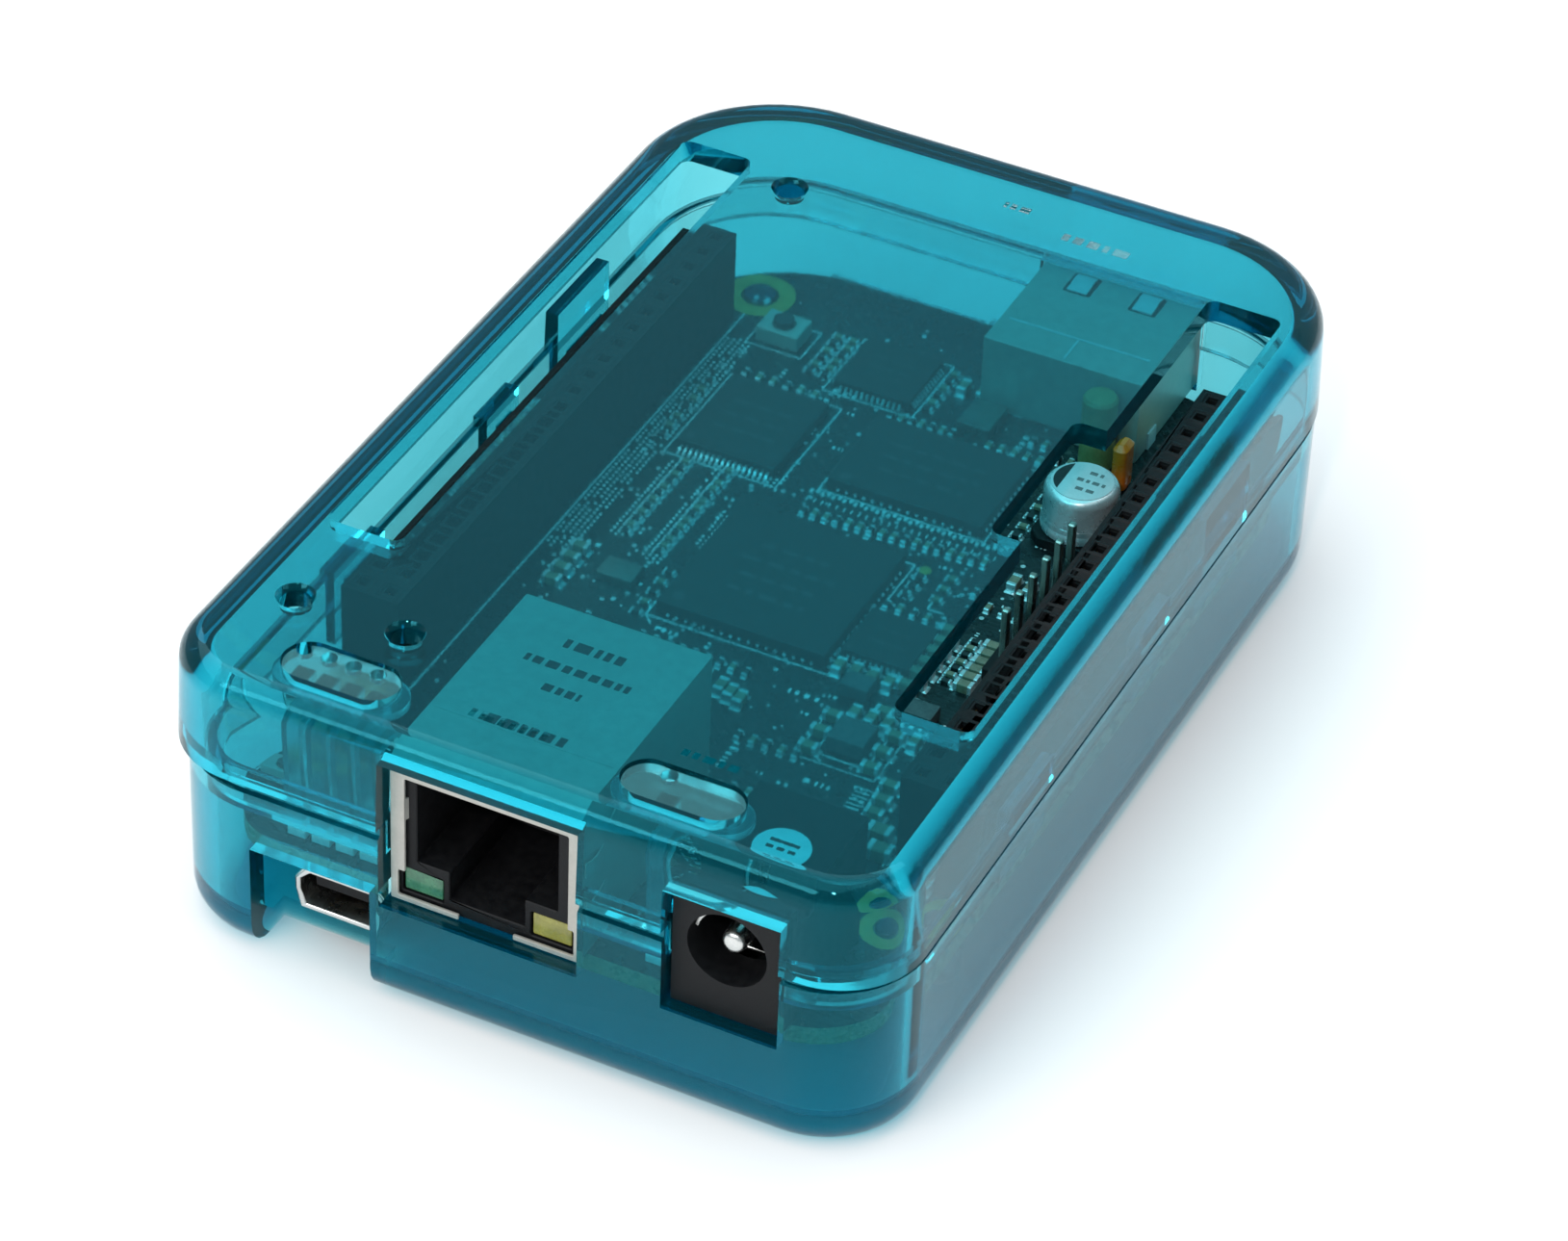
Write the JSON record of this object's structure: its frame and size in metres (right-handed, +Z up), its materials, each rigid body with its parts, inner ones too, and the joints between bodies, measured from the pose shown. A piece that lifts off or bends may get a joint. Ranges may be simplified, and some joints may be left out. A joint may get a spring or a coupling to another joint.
{
  "type": "single board computer",
  "caption": "Palm-sized single board computer in a glossy translucent two-part case, with a lift-off cover, slots over its headers, socket openings and small push switches.",
  "frame": {"origin": "centre of the case's flat underside", "axes": "+Z up through the cover, -Y towards the end with the network, power and device sockets, +X towards the power jack side"},
  "size_m": [0.062, 0.094, 0.0258],
  "materials": {
    "shell": "glossy translucent teal",
    "frosted": "frosted translucent",
    "board": "black solder mask with pale printed marks",
    "black_plastic": "moulded, fine grain",
    "gold": "gold plated, satin",
    "tinned_steel": "satin tin plate",
    "nickel": "bright nickel plate",
    "silicon": "moulded epoxy package",
    "aluminium": "drawn can, satin",
    "ferrite": "pressed ferrite",
    "green_lamp": "clear tinted",
    "yellow_lamp": "clear tinted",
    "led": "clear lens on a white body",
    "button": "moulded"
  },
  "bodies": {
    "base": {"bottom_shell": "shell", "circuit_board": "board", "left_header": "black_plastic", "right_header": "black_plastic", "serial_header": "black_plastic", "serial_pin_1": "gold", "serial_pin_2": "gold", "serial_pin_3": "gold", "serial_pin_4": "gold", "serial_pin_5": "gold", "serial_pin_6": "gold", "ethernet_shield": "tinned_steel", "ethernet_housing": "black_plastic", "ethernet_left_lamp": "green_lamp", "ethernet_right_lamp": "yellow_lamp", "power_jack_housing": "black_plastic", "power_jack_pin": "nickel", "power_jack_contact": "nickel", "usb_host_shell": "nickel", "usb_host_tongue": "black_plastic", "reset_switch_body": "nickel", "power_switch_body": "nickel", "boot_switch_body": "nickel", "user_led_1": "led", "user_led_2": "led", "user_led_3": "led", "user_led_4": "led", "power_led": "led", "processor": "silicon", "memory_chip": "silicon", "storage_chip": "silicon", "power_manager_chip": "silicon", "network_chip": "silicon", "video_chip": "silicon", "processor_crystal": "nickel", "network_crystal": "nickel", "power_coil_1": "ferrite", "power_coil_2": "ferrite", "power_coil_3": "ferrite", "capacitor_base": "black_plastic", "capacitor_can": "aluminium", "mini_usb_shell": "nickel", "mini_usb_tongue": "black_plastic", "micro_hdmi_shell": "nickel", "micro_hdmi_tongue": "black_plastic", "memory_card_socket": "nickel"},
    "cover": {"top_cover": "shell", "user_light_pipe": "frosted", "power_light_pipe": "frosted"},
    "reset_plunger": {"reset_switch_plunger": "button"},
    "power_plunger": {"power_switch_plunger": "button"},
    "boot_plunger": {"boot_switch_plunger": "button"}
  },
  "joints": [
    {"name": "cover_lift", "type": "slide", "parent": "base", "child": "cover", "axis": [0, 0, 1], "range_m": [0, 0.03]},
    {"name": "reset_press", "type": "slide", "parent": "base", "child": "reset_plunger", "axis": [0, 0, -1], "range_m": [0, 0.00025], "stiffness_N_per_m": 4000},
    {"name": "power_press", "type": "slide", "parent": "base", "child": "power_plunger", "axis": [0, 0, -1], "range_m": [0, 0.00025], "stiffness_N_per_m": 4000},
    {"name": "boot_press", "type": "slide", "parent": "base", "child": "boot_plunger", "axis": [0, 0, -1], "range_m": [0, 0.00025], "stiffness_N_per_m": 4000}
  ]
}
